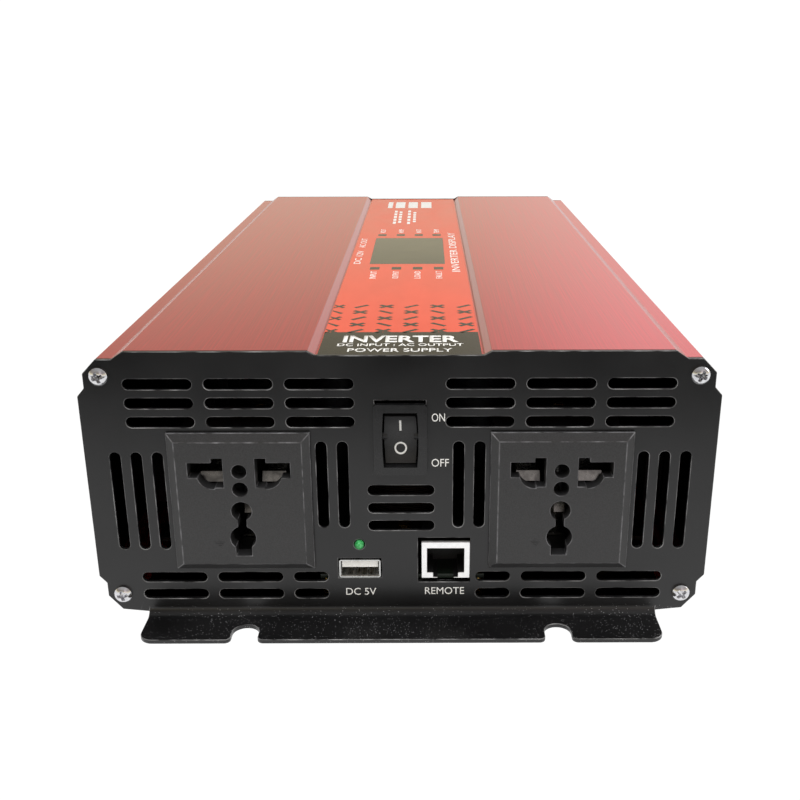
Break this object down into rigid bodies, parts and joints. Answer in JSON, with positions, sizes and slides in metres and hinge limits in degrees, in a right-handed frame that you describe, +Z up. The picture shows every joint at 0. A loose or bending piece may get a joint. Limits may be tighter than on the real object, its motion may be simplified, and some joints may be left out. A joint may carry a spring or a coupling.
{
  "type": "power inverter",
  "caption": "Long extruded power inverter case with bent end panels on slotted feet, universal sockets, rocker switch, ports, display window, rear fans and battery studs.",
  "frame": {"origin": "middle of the bounding box at the underside of the feet", "axes": "+X to the right along the front panel, +Y from the front panel to the rear panel, +Z up from the feet"},
  "size_m": [0.2, 0.3848, 0.093],
  "materials": {
    "red_anodised_aluminium": "brushed, anodised wine red",
    "black_coated_steel": "satin black powder coat",
    "chromed_steel": "bright plated",
    "printed_film": "printed polyester film, red-orange with black and white print",
    "smoked_window": "smoked clear film",
    "lcd_glass": "grey-green liquid crystal cell",
    "plated_sheet": "tin-plated sheet",
    "green_board": "green solder mask",
    "brass_parts": "turned brass",
    "black_socket_plastic": "spark-eroded black plastic",
    "black_moulding": "black nylon",
    "tinned_contact": "tinned spring bronze",
    "switch_plastic": "black, slightly glossy",
    "white_plastic": "white nylon",
    "gold_contact": "gold flashed",
    "green_lens": "tinted clear epoxy",
    "copper_winding": "enamelled copper",
    "red_plastic": "red nylon",
    "black_plastic": "black nylon",
    "ferrite": "dark grey sintered ferrite",
    "capacitor_sleeve": "dark blue shrink sleeve",
    "bare_aluminium": "bare extruded",
    "copper_strap": "bare copper",
    "lead_insulation": "wire insulation"
  },
  "bodies": {
    "case": {"upper_shell": "red_anodised_aluminium", "lower_shell": "red_anodised_aluminium", "front_panel": "black_coated_steel", "rear_panel": "black_coated_steel", "front_panel_screws": "chromed_steel", "rear_panel_screws": "chromed_steel", "label_overlay": "printed_film", "display_window": "smoked_window", "display_glass": "lcd_glass", "display_frame": "plated_sheet", "display_board": "green_board", "display_posts": "brass_parts", "left_socket_faceplate": "black_socket_plastic", "right_socket_faceplate": "black_socket_plastic", "left_socket_housing": "black_moulding", "right_socket_housing": "black_moulding", "live_contacts": "tinned_contact", "neutral_contacts": "tinned_contact", "earth_contacts": "tinned_contact", "switch_housing": "switch_plastic", "switch_terminals": "tinned_contact", "usb_shell": "plated_sheet", "usb_tongue": "white_plastic", "usb_contacts": "gold_contact", "led_lens": "green_lens", "led_legs": "plated_sheet", "network_jack_shield": "plated_sheet", "network_jack_insert": "black_moulding", "network_jack_contacts": "gold_contact", "io_board": "green_board", "left_fan_frame": "black_moulding", "right_fan_frame": "black_moulding", "fan_stators": "copper_winding", "fan_guards": "chromed_steel", "fan_screws": "chromed_steel", "fan_nuts": "chromed_steel", "battery_studs": "brass_parts", "positive_terminal_bush": "red_plastic", "negative_terminal_bush": "black_plastic", "terminal_pads": "black_plastic", "inner_terminal_nuts": "brass_parts", "battery_straps": "copper_strap", "ground_screw": "brass_parts", "main_board": "green_board", "board_posts": "brass_parts", "transformer_cores": "ferrite", "transformer_windings": "copper_winding", "capacitors": "capacitor_sleeve", "output_choke": "copper_winding", "heatsink_bars": "bare_aluminium", "power_transistors": "black_moulding", "output_leads": "lead_insulation"},
    "rocker": {"switch_rocker": "switch_plastic"},
    "contact_bar": {"switch_contact_bar": "brass_parts"},
    "left_impeller": {"left_fan_impeller": "black_moulding"},
    "right_impeller": {"right_fan_impeller": "black_moulding"},
    "positive_washer": {"positive_terminal_washer": "chromed_steel"},
    "positive_nut": {"positive_terminal_nut": "brass_parts"},
    "negative_washer": {"negative_terminal_washer": "chromed_steel"},
    "negative_nut": {"negative_terminal_nut": "brass_parts"}
  },
  "joints": [
    {"name": "rocker_tilt", "type": "hinge", "parent": "case", "child": "rocker", "pos_m": [0, -0.17325, 0.0644], "axis": [-1, 0, 0], "range_deg": [0, 18]},
    {"name": "contact_bar_rock", "type": "hinge", "parent": "case", "child": "contact_bar", "pos_m": [0, -0.16385, 0.0644], "axis": [1, 0, 0], "range_deg": [0, 10.8]},
    {"name": "left_fan_spin", "type": "hinge", "parent": "case", "child": "left_impeller", "pos_m": [-0.062, 0.15685, 0.04725], "axis": [0, 1, 0], "continuous": true},
    {"name": "right_fan_spin", "type": "hinge", "parent": "case", "child": "right_impeller", "pos_m": [0.062, 0.15685, 0.04725], "axis": [0, 1, 0], "continuous": true},
    {"name": "positive_nut_travel", "type": "slide", "parent": "case", "child": "positive_washer", "axis": [0, 1, 0], "range_m": [0, 0.006]},
    {"name": "positive_nut_turn", "type": "hinge", "parent": "positive_washer", "child": "positive_nut", "pos_m": [0.016, 0.17835, 0.04725], "axis": [0, 1, 0], "range_deg": [0, 1728]},
    {"name": "negative_nut_travel", "type": "slide", "parent": "case", "child": "negative_washer", "axis": [0, 1, 0], "range_m": [0, 0.006]},
    {"name": "negative_nut_turn", "type": "hinge", "parent": "negative_washer", "child": "negative_nut", "pos_m": [-0.016, 0.17835, 0.04725], "axis": [0, 1, 0], "range_deg": [0, 1728]}
  ],
  "couplings": [
    {"joint": "contact_bar_rock", "follows": "rocker_tilt", "ratio": 0.6},
    {"joint": "positive_nut_turn", "follows": "positive_nut_travel", "rad_per_m": 5026.5},
    {"joint": "negative_nut_turn", "follows": "negative_nut_travel", "rad_per_m": 5026.5}
  ]
}
